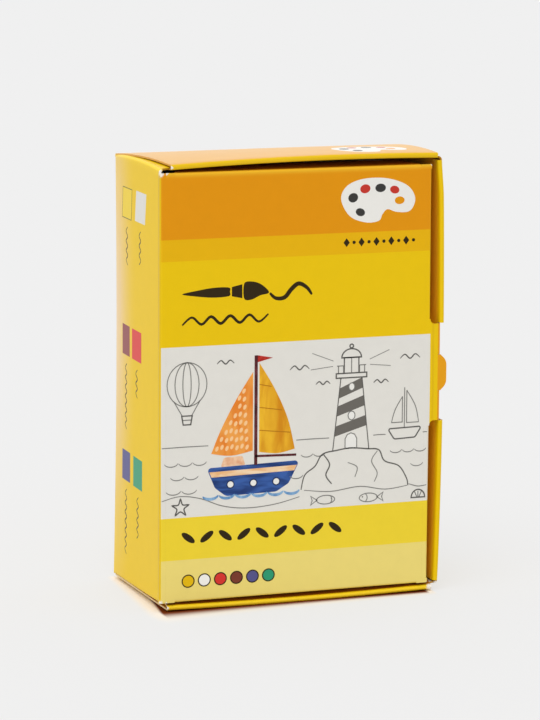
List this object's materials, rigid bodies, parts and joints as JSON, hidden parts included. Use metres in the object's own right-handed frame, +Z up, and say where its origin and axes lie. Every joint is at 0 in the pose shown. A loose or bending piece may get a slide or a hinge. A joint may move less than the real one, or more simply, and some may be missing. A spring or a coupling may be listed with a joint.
{
  "type": "gouache paint box",
  "caption": "Folding carton standing on its end, with rolled walls, a hinged lid with tuck flap and pull tab, and screw-cap paint jars inside.",
  "frame": {"origin": "on the ground under the middle of the carton, at the lower end wall's outer face", "axes": "+Z up along the carton's long side, -Y out of the lid's face, +X towards the latch side"},
  "size_m": [0.0785, 0.04, 0.116],
  "materials": {
    "printed_board": "satin",
    "clear_plastic": "clear moulded plastic",
    "liner_foam": "white foam sheet",
    "violet_gouache": "thick matte paint",
    "violet_plastic": "moulded plastic, satin",
    "brown_gouache": "thick matte paint",
    "brown_plastic": "moulded plastic, satin",
    "yellow_gouache": "thick matte paint",
    "yellow_plastic": "moulded plastic, satin",
    "green_gouache": "thick matte paint",
    "green_plastic": "moulded plastic, satin",
    "red_gouache": "thick matte paint",
    "red_plastic": "moulded plastic, satin",
    "white_gouache": "thick matte paint",
    "white_plastic": "moulded plastic, satin"
  },
  "bodies": {
    "tray": {"back_panel": "printed_board", "hinge_wall": "printed_board", "latch_wall": "printed_board", "top_end_wall": "printed_board", "bottom_end_wall": "printed_board", "hinge_upper_corner_flap": "printed_board", "hinge_lower_corner_flap": "printed_board", "latch_upper_corner_flap": "printed_board", "latch_lower_corner_flap": "printed_board", "violet_jar": "clear_plastic", "violet_paint": "violet_gouache", "brown_jar": "clear_plastic", "brown_paint": "brown_gouache", "yellow_jar": "clear_plastic", "yellow_paint": "yellow_gouache", "green_jar": "clear_plastic", "green_paint": "green_gouache", "red_jar": "clear_plastic", "red_paint": "red_gouache", "white_jar": "clear_plastic", "white_paint": "white_gouache"},
    "lid": {"lid_panel": "printed_board"},
    "tuck_flap": {"tuck_flap": "printed_board"},
    "top_dust_flap": {"top_dust_flap": "printed_board"},
    "bottom_dust_flap": {"bottom_dust_flap": "printed_board"},
    "violet_cap": {"violet_cap": "violet_plastic", "violet_liner": "liner_foam"},
    "brown_cap": {"brown_cap": "brown_plastic", "brown_liner": "liner_foam"},
    "yellow_cap": {"yellow_cap": "yellow_plastic", "yellow_liner": "liner_foam"},
    "green_cap": {"green_cap": "green_plastic", "green_liner": "liner_foam"},
    "red_cap": {"red_cap": "red_plastic", "red_liner": "liner_foam"},
    "white_cap": {"white_cap": "white_plastic", "white_liner": "liner_foam"}
  },
  "joints": [
    {"name": "lid_hinge", "type": "hinge", "parent": "tray", "child": "lid", "pos_m": [-0.03828, -0.01978, 0.058], "axis": [0, 0, -1], "range_deg": [0, 180]},
    {"name": "tuck_flap_crease", "type": "hinge", "parent": "lid", "child": "tuck_flap", "pos_m": [0.03478, -0.01978, 0.058], "axis": [0, 0, -1], "range_deg": [0, 45]},
    {"name": "top_dust_flap_crease", "type": "hinge", "parent": "lid", "child": "top_dust_flap", "pos_m": [0, -0.01978, 0.11328], "axis": [1, 0, 0], "range_deg": [0, 10.8]},
    {"name": "bottom_dust_flap_crease", "type": "hinge", "parent": "lid", "child": "bottom_dust_flap", "pos_m": [0, -0.01978, 0.00272], "axis": [-1, 0, 0], "range_deg": [0, 10.8]},
    {"name": "violet_cap_thread", "type": "hinge", "parent": "tray", "child": "violet_cap", "pos_m": [-0.0198, 0, 0.021], "axis": [0, -1, 0], "range_deg": [0, 360]},
    {"name": "brown_cap_thread", "type": "hinge", "parent": "tray", "child": "brown_cap", "pos_m": [-0.0198, 0, 0.0569], "axis": [0, -1, 0], "range_deg": [0, 360]},
    {"name": "yellow_cap_thread", "type": "hinge", "parent": "tray", "child": "yellow_cap", "pos_m": [-0.0198, 0, 0.0928], "axis": [0, -1, 0], "range_deg": [0, 360]},
    {"name": "green_cap_thread", "type": "hinge", "parent": "tray", "child": "green_cap", "pos_m": [0.016, 0, 0.021], "axis": [0, -1, 0], "range_deg": [0, 360]},
    {"name": "red_cap_thread", "type": "hinge", "parent": "tray", "child": "red_cap", "pos_m": [0.016, 0, 0.0569], "axis": [0, -1, 0], "range_deg": [0, 360]},
    {"name": "white_cap_thread", "type": "hinge", "parent": "tray", "child": "white_cap", "pos_m": [0.016, 0, 0.0928], "axis": [0, -1, 0], "range_deg": [0, 360]}
  ],
  "couplings": [
    {"joint": "tuck_flap_crease", "follows": "lid_hinge", "ratio": 0.25},
    {"joint": "top_dust_flap_crease", "follows": "lid_hinge", "ratio": 0.06},
    {"joint": "bottom_dust_flap_crease", "follows": "lid_hinge", "ratio": 0.06}
  ]
}
